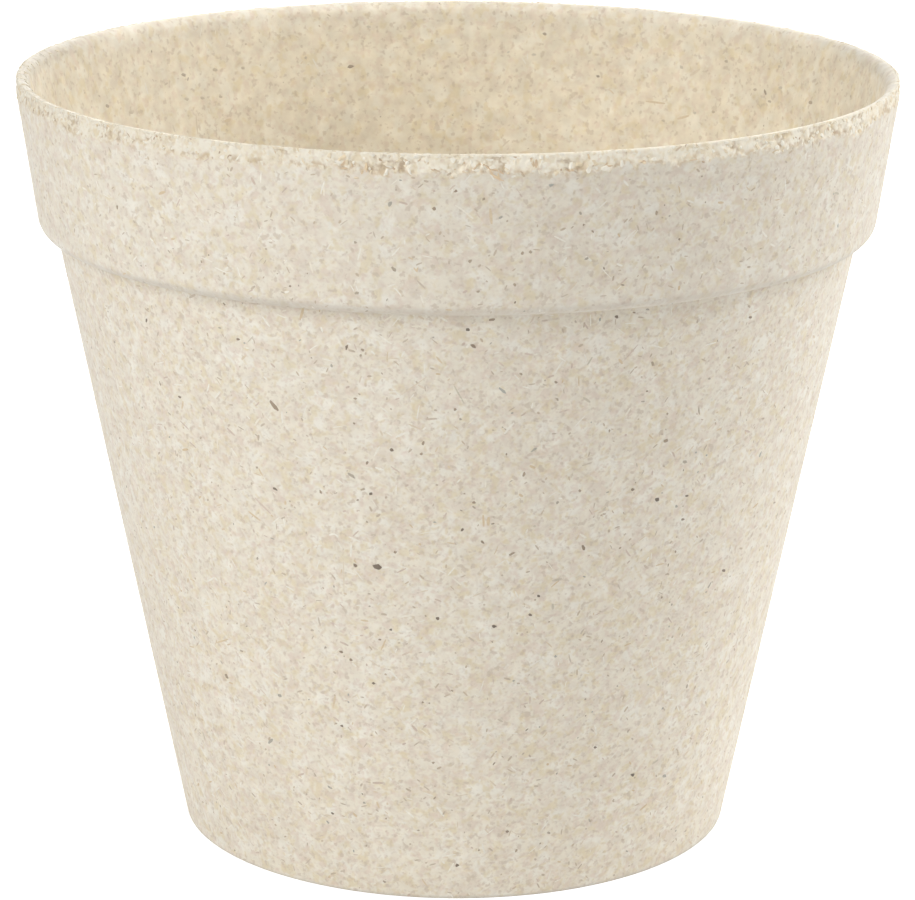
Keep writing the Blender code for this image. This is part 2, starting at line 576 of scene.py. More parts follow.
def rimCorners():
    shape = rimShape
    top = potHeight - shape["topBack"]
    bandBottom = potHeight - bandEdge["bandHeight"]
    outer = collarRadius(bandBottom) + shape["skin"]
    low = rimFoot()
    hem = low + shape["hem"]
    lowRadius = collarRadius(low) + shape["skin"]
    return [
        (outer, top, shape["edgeRadius"], 3, 12),
        (outer, bandBottom, 0, 1, 13),
        (collarRadius(hem) + shape["skin"], hem, 0, 1, 1),
        (lowRadius, low, 0, 1, 1),
        (lowRadius - shape["thickness"], low, 0, 1, 1),
        (rimLip(), potHeight - shape["thickness"], 0, 1, 2),
        (rimLip(), top, 0, 1, 2),
    ]


def brokenHeight(place, chipSize, grainSize, seed):
    # chips of about one size, each broken to its own depth, with grain over them
    shape = rimShape
    warpInputs = {"Vector": place, "Scale": shape["warpScale"], "Detail": 1.0}
    warp = addNode(place.tree, "ShaderNodeTexNoise", warpInputs)["Color"]
    inputs = {"Vector": place + warp * shape["warpDepth"], "W": seed, "Scale": 1.0 / chipSize}
    cells = addNode(place.tree, "ShaderNodeTexVoronoi", inputs, voronoi_dimensions="4D")
    low = shape["chipFloor"]
    chipTop = ease(cells["Distance"], *shape["chipDome"]) * (cells["Color"].part("X") * (1.0 - low) + low)
    grain = noise(place, grainSize, 2.0, 0.5, seed)
    height = grain * shape["grainShare"] + chipTop * shape["chipShare"]
    return calc("SUBTRACT", height, shape["worn"], clamp=True)


def trimmedRimTree(turning, aboveBand):
    tree = newTree("trimmedRim")
    given = addInputs(
        tree,
        Geometry=["Section"],
        Int=["Rows", "Segments"],
        Float=[
            "Lip radius", "Core radius", "Stand", "Stand length", "Chip depth", "Chip size", "Grain size",
            "Rough length", "Seed",
        ],
        Material=["Material"],
    )
    shape = rimShape
    place = position(tree)
    radius = (place * (1, 1, 0)).length()
    z = place.part("Z")
    above = useGroup(tree, aboveBand)
    onBand = ease(above, *shape["tornSpan"])
    onTop = z > potHeight - shape["topSpan"]
    onOutside = (radius > given["Core radius"]) * (z > rimFoot() + hair)
    free = onBand * calc("MAXIMUM", onTop, onOutside)

    height = brokenHeight(place, given["Chip size"], given["Grain size"], given["Seed"])
    rough = noise(place, given["Rough length"], 2.0, 0.5, given["Seed"] + 1.0)
    pastLip = ease(radius - given["Lip radius"], 0.0, shape["lipFade"])
    depth = (1.0 - height) * (pastLip * remap(rough, *shape["roughRange"]))
    loose = noise(place, given["Stand length"], 2.0, 0.5, given["Seed"] + 2.0)
    stand = given["Stand"] * remap(loose, *shape["standRange"])
    shift = (stand - depth * given["Chip depth"]) * free

    marked = turnedSection(tree, given, turning)
    for name, value in {
        "depth": depth,
        "band": free,
        "edge": ease(above, *shape["edgeSpan"]),
        "stain": ease(above, *shape["stain"]),
        "skin": (1.0 - onBand) * onOutside,
    }.items():
        marked = storeAttribute(marked, name, value)
    normal = addNode(tree, "GeometryNodeInputNormal")
    finishTree(move(marked, Position=trimmedToBox(place + normal * shift)), given["Material"])
    return tree


# The pressed fibre finish: soft patches of colour, then layers of chopped fibre drawn in cells, with
# painted shade and highlights

pressedFinish = {
    "binder": (0.838, 0.774, 0.647, 1),
    # painted light: the inside is made warmer and a little darker, more so deeper in the mouth, for light
    # bounced inside the pot
    "innerTint": (0.992, 0.972, 0.915, 1),
    "innerTintAtLip": 0.4,           # share of the tint at the lip, and deeper in the mouth
    "innerTintBelow": 0.6,
    "innerTintSpan": (1.0, 4.0),     # mm under the top where that begins and is full
    "innerCalm": 0.12,               # how much fainter the patches and fibres are inside or on the collar
    "innerSoft": 0.9,
    "collarSoft": 0.25,
    "collarFade": 1.5,               # mm over which the body's look turns into the collar's
    # painted shade: the body is darkened from low to high and the collar a little more, evening out the
    # light that falls from above
    "bodyShade": (30.0, 60.0, 0.015),  # from this height to that, in mm, and how much darker
    "collarShade": 0.027,
    "fine": (0.8, 0.04),             # grain's size in mm and strength
    "mottle": (2.2, 0.08),
    "mottleOutside": 0.4,            # share of the mottle on the outside
    # painted highlight: a pale warm line on the lip's flat top
    "lipPaler": 0.5,
    "lipPalerSpan": (0.14, 0.07),
    # painted light and shade on the mouth's rounding: paler at the back, darker at the sides
    "lipToneSpan": (2.4, 0.6),
    "lipTone": (50.0, 61.0, 0.10, -0.17),  # |x| in mm at the start and the end, tone before and after
    "stainNoise": (0.8, 3.0, 0.6, 9.0),  # size in mm, detail, roughness and seed
    "stained": (0.46, 0.64, 0.5),    # noise level where it starts and is full, and share
    "ochre": (0.700, 0.560, 0.350, 1),
    # painted shade: a grey-brown band under the collar's shoulder, where its shadow falls on the body
    "groove": (0.600, 0.550, 0.480, 1),
    "grooveSpan": (0.5, 1.1, 0.3, 0.48),  # mm above the collar's underside, reach, full reach, share
    # painted highlight: a pale line where the collar starts to round under, about 2 mm above its underside
    "rubbed": (0.885, 0.835, 0.735, 1),
    "rubbedSpan": (2.1, 0.7, 0.2, 0.10),
    # painted shade: darker and greyer within the bottom 0.6 mm of the foot
    "scuffed": (0.560, 0.520, 0.460, 1),
    "scuffedSpan": (0.6, 0.1, 0.55),
    "roughness": (0.3, 0.7, 0.55, 0.72),  # noise levels, and the roughness there
    "sheen": 0.15,
    "sheenRoughness": 0.4,
    "relief": 0.03 * mm,
    "reliefSize": 0.8,
    "reliefStrength": 0.4,
}

# wave length (mm), noise level where it starts, level where it is full, strength, colour
colourPatches = {
    "blush": (1.6, 0.44, 0.64, 0.72, (0.772, 0.684, 0.572, 1)),
    "cloud": (2.8, 0.50, 0.64, 0.80, (0.880, 0.838, 0.738, 1)),
    "ochre": (1.5, 0.52, 0.66, 0.60, (0.750, 0.645, 0.430, 1)),
    "peach": (1.3, 0.53, 0.66, 0.50, (0.735, 0.605, 0.500, 1)),
    "bran": (0.8, 0.57, 0.67, 0.58, (0.600, 0.500, 0.390, 1)),
}

# cell size, half length, half width (mm), bend, share of cells, strength, colour
fibreLayers = {
    "longTan": (2.3, 1.05, 0.20, 0.06, 0.75, 0.36, (0.640, 0.540, 0.430, 1)),
    "pale": (1.9, 0.85, 0.26, 0.10, 0.80, 0.48, (0.890, 0.850, 0.755, 1)),
    "ochre": (1.5, 0.62, 0.23, 0.10, 0.65, 0.46, (0.715, 0.600, 0.380, 1)),
    "peach": (1.2, 0.46, 0.21, 0.15, 0.60, 0.38, (0.690, 0.550, 0.450, 1)),
    "shortTan": (0.9, 0.36, 0.15, 0.20, 0.75, 0.24, (0.530, 0.440, 0.350, 1)),
}


fibreFade = {
    "shortest": 0.4,                 # share of the half length
    "longer": 0.9,                   # and how much further the longest go on
    "ends": (1.0, 0.7),              # share of the half length where it is clear, and where it is full
    "sides": (1.25, 0.2),
    "faintest": 0.4,                 # share of the strength
}


def fibreLayerTree():
    tree = newTree("fibreLayer", "ShaderNodeTree")
    given = addInputs(
        tree, Vector=["Place", "Normal"], Float=["Cell", "Half length", "Half width", "Bend", "Share"]
    )
    inputs = {"Vector": given["Place"], "Scale": 1.0 / given["Cell"]}
    cells = addNode(tree, "ShaderNodeTexVoronoi", inputs)
    away = given["Place"] - cells["Position"]
    flat = away - given["Normal"] * away.dot(given["Normal"])
    lie = (cells["Color"] - (0.5, 0.5, 0.5)).cross(given["Normal"]).normalized()
    along = flat.dot(lie)
    aside = flat.dot(given["Normal"].cross(lie))
    first, second, third = (cells["Color"].part(axis) for axis in "XYZ")
    bow = given["Bend"] * (second * 2.0 - 1.0)
    reach = given["Half length"] * (third * fibreFade["longer"] + fibreFade["shortest"])
    ends = abs(along) / reach
    sides = abs(along * along * bow + aside) / given["Half width"]
    mask = ease(ends, *fibreFade["ends"]) * ease(sides, *fibreFade["sides"]) * (first < given["Share"])
    addOutputs(tree, Mask=mask, Random=second)
    return tree


def newMaterial(name):
    material = bpy.data.materials.new(name)
    material.use_nodes = True
    tree = material.node_tree
    return material, tree, tree.nodes["Principled BSDF"].inputs


def fibrePlace(tree):
    # where a point of the surface is, in millimetres, and which way it faces
    place = addNode(tree, "ShaderNodeTexCoord")["Object"] * (1 / mm)
    return place, addNode(tree, "ShaderNodeNewGeometry")["Normal"]


def addFibreLayer(fibreLayer, name, place, normal, index, size=1.0):
    cell, halfLength, halfWidth, bend, share, strength, tint = fibreLayers[name]
    inputs = {
        "Place": place + (17.3 * index, 5.1 * index, 11.7 * index),  # each layer has its own cells
        "Normal": normal,
        "Cell": cell * size,
        "Half length": halfLength * size,
        "Half width": halfWidth,
        "Bend": bend,
        "Share": share,
    }
    layer = useGroup(place.tree, fibreLayer, inputs)
    faintest = fibreFade["faintest"]
    return layer["Mask"] * ((layer["Random"] * (1.0 - faintest) + faintest) * strength), tint


trimmedFinish = {
    "chip": (0.885, 0.830, 0.702, 1),
    "chipWarm": (0.850, 0.770, 0.612, 1),
    "ochre": (0.755, 0.635, 0.440, 1),
    # the brown of the broken fibre in the pits, with painted shade
    "crevice": (0.500, 0.385, 0.262, 1),
    "edge": (0.560, 0.425, 0.275, 1),
    # colour of the lip's painted highlight
    "lip": (0.930, 0.850, 0.680, 1),
    "warmSpan": (0.44, 0.62),        # noise levels where a tint starts and is full
    "ochreSpan": (0.53, 0.63),
    "ochreShare": 0.6,
    "edgeSpan": (0.46, 0.58),
    "edgeShare": 0.8,
    "creviceSpan": (0.50, 0.80),     # depth of the break where it starts and is full
    "creviceShare": 0.92,
    "creviceRange": (0.41, 0.55, 0.3, 1.0),  # noise levels, and the share of the tint there
    "roughness": 0.85,
    # painted light and shade across the band, from the darker -X side to the paler +X side
    "toneSpan": (-34.0, 12.0),       # mm along X from the darker to the paler side
    "tone": (0.94, 1.08),
}


def bandPaintedSideLight(colour, place):
    # painted light and shade: the trimmed fibre is a little darker on the -X side and paler on the +X side
    dark, pale = trimmedFinish["tone"]
    return toned(colour, ease(place.part("X"), *trimmedFinish["toneSpan"]) * (pale - dark) + dark)


def ringMask(level, middle, reach, full, share):
    # a soft ring round the pot at a level
    return ease(abs(level - middle), reach, full) * share


def pressedColour(fibreLayer, place, normal):
    finish = pressedFinish
    tree = place.tree
    inner = readAttribute(tree, "inner")
    outside = 1.0 - inner
    z = place.part("Z")
    underCollar = z - undersideLevel() / mm
    onCollar = ease(underCollar, 0.0, finish["collarFade"]) * outside
    calm = inner * -finish["innerCalm"] + 1.0
    colour = finish["binder"]
    for step, (size, low, high, strength, tint) in enumerate(colourPatches.values()):
        patch = ease(noise(place, size, 2.0, 0.5, 2.0 * step + 1.0), low, high)
        colour = mixColour(patch * (calm * strength), colour, tint)
    soften = onCollar * -finish["collarSoft"] + (inner * -finish["innerSoft"] + 1.0)
    for index, name in enumerate(fibreLayers):
        mask, tint = addFibreLayer(fibreLayer, name, place, normal, index)
        colour = mixColour(mask * soften, colour, tint)

    # painted shade: darker up the body and on the collar, plus fine grain below
    low, high, darker = finish["bodyShade"]
    tone = onCollar * -finish["collarShade"] + ease(z, low, high) * outside * -darker + 1.0
    size, strength = finish["fine"]
    tone = remap(noise(place, size, 2.0, 0.6, 4.0), 0.25, 0.75, -strength, strength) * soften + tone
    size, strength = finish["mottle"]
    mottle = remap(noise(place, size, 2.0, 0.5, 6.0), 0.3, 0.7, -strength, strength)
    mottleShare = inner * (1.0 - finish["mottleOutside"]) + finish["mottleOutside"]
    colour = toned(colour, mottle * mottleShare + tone)

    # painted warmth of light bounced inside the pot
    below = potHeight / mm - z
    tinted = mixColour(1.0, colour, finish["innerTint"], "MULTIPLY")
    deeper = inner * ease(below, *finish["innerTintSpan"])
    tintShare = deeper * finish["innerTintBelow"] + inner * finish["innerTintAtLip"]
    colour = mixColour(tintShare, colour, tinted)
    # painted highlight along the lip's flat top
    lip = inner * ease(below, *finish["lipPalerSpan"])
    colour = mixColour(lip * finish["lipPaler"], colour, trimmedFinish["lip"])
    # painted light and shade on the mouth's rounding, by |x|
    start, end, before, after = finish["lipTone"]
    aside = ease(abs(place.part("X")), start, end) * (after - before) + before
    colour = toned(colour, aside * (inner * ease(below, *finish["lipToneSpan"])) + 1.0)

    low, high, share = finish["stained"]
    stained = readAttribute(tree, "stain") * ease(noise(place, *finish["stainNoise"]), low, high)
    colour = mixColour(stained * share, colour, finish["ochre"])
    # painted shade under the collar's shoulder
    colour = mixColour(ringMask(underCollar, *finish["grooveSpan"]) * outside, colour, finish["groove"])
    # painted highlight along the collar's shoulder
    colour = mixColour(ringMask(underCollar, *finish["rubbedSpan"]) * outside, colour, finish["rubbed"])
    # painted shade at the foot's bottom edge
    low, high, share = finish["scuffedSpan"]
    return mixColour(ease(z, low, high) * share, colour, finish["scuffed"])


def trimmedColour(fibreLayer, place, normal):
    finish = trimmedFinish
    tree = place.tree
    warm = ease(noise(place, 1.8, 3.0, 0.6, 1.0), *finish["warmSpan"])
    colour = mixColour(warm, finish["chip"], finish["chipWarm"])
    blotch = ease(noise(place, 2.0, 2.0, 0.6, 3.0), *finish["ochreSpan"])
    colour = mixColour(blotch * finish["ochreShare"], colour, finish["ochre"])
    stained = noise(place, 1.6, 3.0, 0.6, 5.0)
    edge = readAttribute(tree, "edge") * ease(stained, *finish["edgeSpan"])
    colour = mixColour(edge * finish["edgeShare"], colour, finish["edge"])
    # pits of the break darker and browner: partly the broken fibre's own brown, partly painted shade
    deep = ease(readAttribute(tree, "depth"), *finish["creviceSpan"])
    deep = deep * remap(stained, *finish["creviceRange"])
    colour = mixColour(deep * finish["creviceShare"], colour, finish["crevice"])
    for index, name in enumerate(("ochre", "peach")):
        mask, tint = addFibreLayer(fibreLayer, name, place, normal, index + 10, 0.8)
        colour = mixColour(mask, colour, tint)
    return bandPaintedSideLight(colour, place)


def fibreMaterial(name, fibreLayer, trimmed):
    material, tree, shaderInputs = newMaterial(name)
    place, normal = fibrePlace(tree)
    finish = pressedFinish
    colour = pressedColour(fibreLayer, place, normal)
    gloss = remap(noise(place, 3.0, 2.0, 0.6, 3.0), *finish["roughness"])
    if trimmed:
        band = readAttribute(tree, "band")
        colour = mixColour(band, colour, trimmedColour(fibreLayer, place, normal))
        gloss = calc("MAXIMUM", gloss, band * trimmedFinish["roughness"])
    relief = {
        "Height": noise(place, finish["reliefSize"], 3.0, 0.6, 2.0),
        "Strength": finish["reliefStrength"],
        "Distance": finish["relief"],
    }
    plug(colour, shaderInputs["Base Color"])
    plug(gloss, shaderInputs["Roughness"])
    plug(finish["sheen"], shaderInputs["Sheen Weight"])
    plug(finish["sheenRoughness"], shaderInputs["Sheen Roughness"])
    plug(addNode(tree, "ShaderNodeBump", relief), shaderInputs["Normal"])
    return material


def makeWallAndRim():
    fibreLayer = fibreLayerTree()
    turning = turningTree()
    aboveBand = bandLevelTree()
    rows = roundedRows(potCorners())
    firstInner = next(index for index, row in enumerate(rows) if row.x < potShape["drainRadius"] + hair)
    wallValues = {"rows": len(rows), "material": fibreMaterial("pressedFibre", fibreLayer, False)}
    wallSection = sectionMesh(rows, firstInner)
    wall = grow("pressedWall", wallSection, pressedWallTree(turning, aboveBand), potShape | wallValues)
    rows = roundedRows(rimCorners(), math.inf)
    rimValues = {
        "rows": len(rows),
        "lipRadius": rimLip(),
        "coreRadius": rimRadius - rimShape["thickness"] + rimShape["coreMargin"],
        "material": fibreMaterial("trimmedFibre", fibreLayer, True),
    }
    rimSection = sectionMesh(rows, len(rows))
    rim = grow("trimmedRim", rimSection, trimmedRimTree(turning, aboveBand), rimShape | rimValues)
    return {"wall": finishPiece(wall), "rim": finishPiece(rim)}


# Fibres and chips that lie in the surface: scattered points, plus marks set at chosen places

scatterDefaults = {
    "heldBy": "skin",                # the attribute that says where they lie
    "bow": 0.04,
    "firstShade": 0.0,
}

scatterSpread = {
    "length": (0.4, 1.15),           # shortest and longest share of the length
    "longer": 0.35,                  # and how much further the longest few go on
    "width": (0.6, 1.4),
}

scatterInputs = {
    "String": ["Held by"],
    "Float": ["Outside density", "Inside density", "Length", "Half width", "Bow", "First shade"],
    "Int": ["Seed"],
}


def scatterTree():
    # points on a skin, each with its own direction, length, half width, bow and shade
    tree = newTree("scatter")
    given = addInputs(tree, Geometry=["Skin"], **scatterInputs)
    inner = readAttribute(tree, "inner")
    density = given["Inside density"] * inner + given["Outside density"] * (1.0 - inner)
    density = density * readAttribute(tree, given["Held by"])
    density = density * (position(tree).part("Z") > potShape["bareFoot"])
    inputs = {"Mesh": given["Skin"], "Density": density, "Seed": given["Seed"]}
    spots = addNode(tree, "GeometryNodeDistributePointsOnFaces", inputs)

    def random(low, high, step):
        inputs = {2: low, 3: high, "Seed": given["Seed"] + float(step)}
        return addNode(tree, "FunctionNodeRandomValue", inputs, data_type="FLOAT")[1]

    aimInputs = {0: (-1, -1, -1), 1: (1, 1, 1), "Seed": given["Seed"]}
    aim = addNode(tree, "FunctionNodeRandomValue", aimInputs, data_type="FLOAT_VECTOR")
    long = random(*scatterSpread["length"], 1)
    points = spots["Points"]
    for name, value in {
        "out": spots["Normal"],
        "lie": aim.cross(spots["Normal"]).normalized(),
        "size": given["Length"] * (long ** 4.0 * scatterSpread["longer"] + long),
        "wide": given["Half width"] * random(*scatterSpread["width"], 2),
        "bow": given["Bow"] * random(-1.0, 1.0, 3),
        "shade": random(given["First shade"], 1.0, 4),
    }.items():
        points = storeAttribute(points, name, value, "FLOAT_VECTOR" if value.isVector else "FLOAT")
    addOutputs(tree, Points=points)
    return tree


def laid(points, shape, scale):
    # the shape on each point, along its "lie" and square to its "out"
    tree = points.tree
    axes = {
        "Primary Axis": readAttribute(tree, "out", "FLOAT_VECTOR"),
        "Secondary Axis": readAttribute(tree, "lie", "FLOAT_VECTOR"),
    }
    turn = addNode(tree, "FunctionNodeAxesToRotation", axes, primary_axis="Z", secondary_axis="X")
    inputs = {"Points": points, "Instance": shape, "Rotation": turn, "Scale": scale}
    return realized(addNode(tree, "GeometryNodeInstanceOnPoints", inputs))


def onSkin(skin, place, share):
    # a place drawn in towards the skin, to this share of its distance
    inputs = {0: skin, "Sample Position": place}
    near = addNode(skin.tree, "GeometryNodeProximity", inputs, target_element="FACES")
    return near + (place - near) * share


def pressed(mesh, given):
    place = onSkin(given["Skin"], position(mesh.tree), given["Flatness"])
    return move(mesh, Position=trimmedToBox(place))


strandShape = {"points": 4, "sides": 3, "endWidth": 0.55}
chipShape = {"uneven": 0.35, "seed": 5}


def strandsTree():
    # a bent, tapered strand at each point, laid along the skin and flattened on it
    tree = newTree("strands")
    given = addInputs(tree, Geometry=["Points", "Skin"], Float=["Flatness"])
    line = addNode(tree, "GeometryNodeCurvePrimitiveLine", {"Start": (-0.5, 0, 0), "End": (0.5, 0, 0)})
    line = addNode(tree, "GeometryNodeResampleCurve", {"Curve": line, "Count": strandShape["points"]})
    size = readAttribute(tree, "size")
    lines = laid(given["Points"], line, combine(size, size, size))
    share = addNode(tree, "GeometryNodeSplineParameter")["Factor"]
    arch = (1.0 - share) * (share * 4.0)
    out = readAttribute(tree, "out", "FLOAT_VECTOR")
    across = out.cross(readAttribute(tree, "lie", "FLOAT_VECTOR"))
    bent = move(lines, Offset=across * (size * readAttribute(tree, "bow") * arch))
    flush = move(bent, Position=onSkin(given["Skin"], position(tree), 0.0))
    endWidth = strandShape["endWidth"]
    thick = readAttribute(tree, "wide") * (calc("SQRT", arch) * (1.0 - endWidth) + endWidth)
    inputs = {"Resolution": strandShape["sides"], "Radius": 1.0}
    ring = addNode(tree, "GeometryNodeCurvePrimitiveCircle", inputs)
    inputs = {"Curve": flush, "Profile Curve": ring, "Scale": thick, "Fill Caps": True}
    addOutputs(tree, Mesh=pressed(addNode(tree, "GeometryNodeCurveToMesh", inputs), given))
    return tree


def chipsTree():
    # a small broken chip at each point, pressed nearly flush
    tree = newTree("chips")
    given = addInputs(tree, Geometry=["Points", "Skin"], Float=["Flatness"])
    ball = addNode(tree, "GeometryNodeMeshIcoSphere", {"Radius": 1.0, "Subdivisions": 1})
    wide = readAttribute(tree, "wide")
    chips = laid(given["Points"], ball, combine(readAttribute(tree, "size") * 0.5, wide, wide))
    index = addNode(tree, "GeometryNodeInputIndex")
    inputs = {0: (-1, -1, -1), 1: (1, 1, 1), "ID": index, "Seed": chipShape["seed"]}
    shift = addNode(tree, "FunctionNodeRandomValue", inputs, data_type="FLOAT_VECTOR")
    uneven = move(chips, Offset=shift * (wide * chipShape["uneven"]))
    addOutputs(tree, Mesh=pressed(uneven, given))
    return tree


def strewnTree(name, scatter, shaper):
    # marks given as points on the modifier's own mesh, joined with scattered ones, then shaped
    tree = newTree(name)
    floats = scatterInputs["Float"] + ["Flatness"]
    given = addInputs(
        tree,
        Geometry=["Marks"],
        Object=["Wall", "Rim"],
        Material=["Material"],
        **scatterInputs | {"Float": floats},
    )
    surfaces = [
        addNode(tree, "GeometryNodeObjectInfo", {"Object": given[key]})["Geometry"]
        for key in ("Rim", "Wall")
    ]
    skin = addNode(tree, "GeometryNodeJoinGeometry", {0: surfaces})
    shared = {name: given[name] for names in scatterInputs.values() for name in names}
    scattered = useGroup(tree, scatter, {"Skin": skin} | shared)
    marks = addNode(tree, "GeometryNodeMeshToPoints", {"Mesh": given["Marks"]})
    points = addNode(tree, "GeometryNodeJoinGeometry", {0: [scattered, marks]})
    shaped = useGroup(tree, shaper, {"Points": points, "Skin": skin, "Flatness": given["Flatness"]})
    finishTree(shaped, given["Material"], smooth=False)
    return tree


def skinRadius(z, inside):
    if not inside:
        return collarRadius(z) if z > undersideLevel() else innerRadius(z) + potShape["bodyWall"]
    share = max(0, (z - undersideLevel()) / potShape["collarHeight"])
    mouth = rimRadius - potShape["rimWall"]
    return innerRadius(min(z, undersideLevel())) * (1 - share) + mouth * share


def marksMesh(outside, inside):
    # a mark: turn from the camera, height, lean from level, length, half width, shade (degrees, mm)
    grown = 1.08 * mm                # a mark's sunk edge hides a little of it
    slope = bodySlope()
    places = []
    values = {name: [] for name in ("out", "lie", "size", "wide", "bow", "shade", "inner")}
    for index, (turn, height, lean, length, halfWidth, shade) in enumerate(outside + inside):
        isInside = index >= len(outside)
        turn, lean, z = math.radians(turn), math.radians(lean), height * mm
        away = Vector((math.sin(turn), -math.cos(turn), 0))
        level = Vector((math.cos(turn), math.sin(turn), 0))
        up = (away * slope + Vector((0, 0, 1))).normalized()
        places.append(away * skinRadius(z, isInside) + Vector((0, 0, z)))
        out = (away - Vector((0, 0, slope))).normalized() * (-1 if isInside else 1)
        lie = level * math.cos(lean) + up * math.sin(lean)
        mark = (out, lie, length * grown, halfWidth * grown, 0.0, shade, float(isInside))
        for name, value in zip(values, mark):
            values[name].append(value)
    mesh = bpy.data.meshes.new("marks")
    mesh.from_pydata(places, [], [])
    for name, column in values.items():
        kind, field = ("FLOAT_VECTOR", "vector") if name in {"out", "lie"} else ("FLOAT", "value")
        attribute = mesh.attributes.new(name, kind, "POINT")
        for index, value in enumerate(column):
            setattr(attribute.data[index], field, value)
    return mesh


fibreTone = {
    "grainSize": 0.4,                # mm
    "grain": (0.3, 0.7, 0.92, 1.08),  # noise levels, and the tone there
    "sunk": (0.765, 0.675, 0.520, 1),  # binder over the fibres inside the pot
    "sunkShare": 0.2,                # at shade 0, and how much more at shade 1
    "sunkMore": 0.45,
}


def shadedMaterial(name, colours, roughness, onBand):
    # colours from shade 0 to 1, with a little grain along the fibre
    material, tree, shaderInputs = newMaterial(name)
    shade = readAttribute(tree, "shade")
    ramp = addNode(tree, "ShaderNodeValToRGB", {"Fac": shade})
    stops = ramp.socket.node.color_ramp.elements
    while len(stops) < len(colours):
        stops.new(0.5)
    for index, colour in enumerate(colours):
        stops[index].position = index / (len(colours) - 1)
        stops[index].color = colour
    place, _ = fibrePlace(tree)
    grain = noise(place, fibreTone["grainSize"], 2.0, 0.6, 1.0)
    colour = toned(ramp, remap(grain, *fibreTone["grain"]))
    sunk = readAttribute(tree, "inner") * (shade * fibreTone["sunkMore"] + fibreTone["sunkShare"])
    colour = mixColour(sunk, colour, fibreTone["sunk"])
    # the band's painted light and shade
    if onBand:
        colour = bandPaintedSideLight(colour, place)
    plug(colour, shaderInputs["Base Color"])
    plug(roughness, shaderInputs["Roughness"])
    return material


paleFibres = {
    "colours": [(0.84, 0.79, 0.69, 1), (0.87, 0.83, 0.735, 1), (0.83, 0.765, 0.635, 1)],
    "roughness": 0.6,
    "outsideDensity": 50000.0,       # per square metre
    "insideDensity": 8000.0,
    "length": 1.2 * mm,
    "halfWidth": 0.14 * mm,
    "flatness": 0.08,
    "seed": 11,
}

tanFibres = {
    "colours": [
        (0.65, 0.51, 0.32, 1), (0.70, 0.57, 0.385, 1), (0.71, 0.605, 0.46, 1), (0.74, 0.65, 0.51, 1),
        (0.65, 0.53, 0.44, 1), (0.61, 0.49, 0.395, 1), (0.61, 0.55, 0.43, 1),
    ],
    "roughness": 0.6,
    "outsideDensity": 42000.0,
    "insideDensity": 7000.0,
    "length": 0.85 * mm,
    "halfWidth": 0.16 * mm,
    "flatness": 0.10,
    "seed": 23,
    "outsideMarks": [
        (-43.7, 68.0, -33, 1.66, 0.2, 0.7), (-30.4, 58.4, -42, 2.84, 0.23, 0.65),
        (-32.2, 56.6, -31, 1.97, 0.24, 0.1), (-20.8, 87.2, 70, 1.87, 0.23, 0.1),
        (-2.3, 81.7, -52, 1.1, 0.2, 0.2), (-5.8, 77.9, 39, 3.93, 0.13, 0.35),
        (-5.8, 72.1, -23, 1.64, 0.17, 0.3), (0.4, 76.8, -63, 2.65, 0.15, 1),
        (18.2, 80.9, 61, 1.2, 0.17, 1), (24.2, 81.6, 50, 2.49, 0.14, 0.7),
        (4.1, 58.5, -86, 1.6, 0.16, 0.1), (4.9, 58.4, 89, 1.2, 0.26, 0.15),
        (-0.6, 55.2, -10, 1.1, 0.17, 0.2), (-17.6, 49.7, 87, 4.14, 0.11, 0.5),
        (19.4, 67.1, 20, 1.7, 0.13, 0.5), (-8.1, 38.4, 29, 1.15, 0.24, 0.6),
        (-13.5, 36.6, -35, 1.56, 0.15, 0.45), (-21.2, 30.0, 76, 1.91, 0.17, 0.2),
        (-11.8, 39.5, 67, 1.78, 0.15, 0.1), (-43.5, 35.8, 24, 2.6, 0.2, 0.1),
        (-14.7, 43.0, -3, 1.01, 0.2, 0.1), (7.0, 18.4, -46, 1.21, 0.2, 0.4),
        (1.5, 16.6, 12, 2.3, 0.11, 0.4), (4.0, 102.0, -84, 1.98, 0.21, 0.2),
        (7.3, 105.1, -55, 1.27, 0.17, 0.7),
    ],
    "insideMarks": [
        (-135.6, 94.3, -84, 2.91, 0.21, 0.3), (-141.6, 94.2, -9, 1.17, 0.28, 0.1),
        (141.7, 101.8, -36, 1.84, 0.24, 0.3), (142.6, 94.9, -20, 2.04, 0.21, 0.15),
        (147.9, 96.6, 0, 3.19, 0.17, 0.1), (-113.4, 105.3, -67, 1.84, 0.18, 0.4),
    ],
}

brownFibres = {
    "colours": [(0.61, 0.50, 0.36, 1), (0.54, 0.44, 0.33, 1), (0.59, 0.50, 0.39, 1)],
    "roughness": 0.55,
    "outsideDensity": 62000.0,
    "insideDensity": 6000.0,
    "length": 0.55 * mm,
    "halfWidth": 0.14 * mm,
    "flatness": 0.12,
    "seed": 37,
}

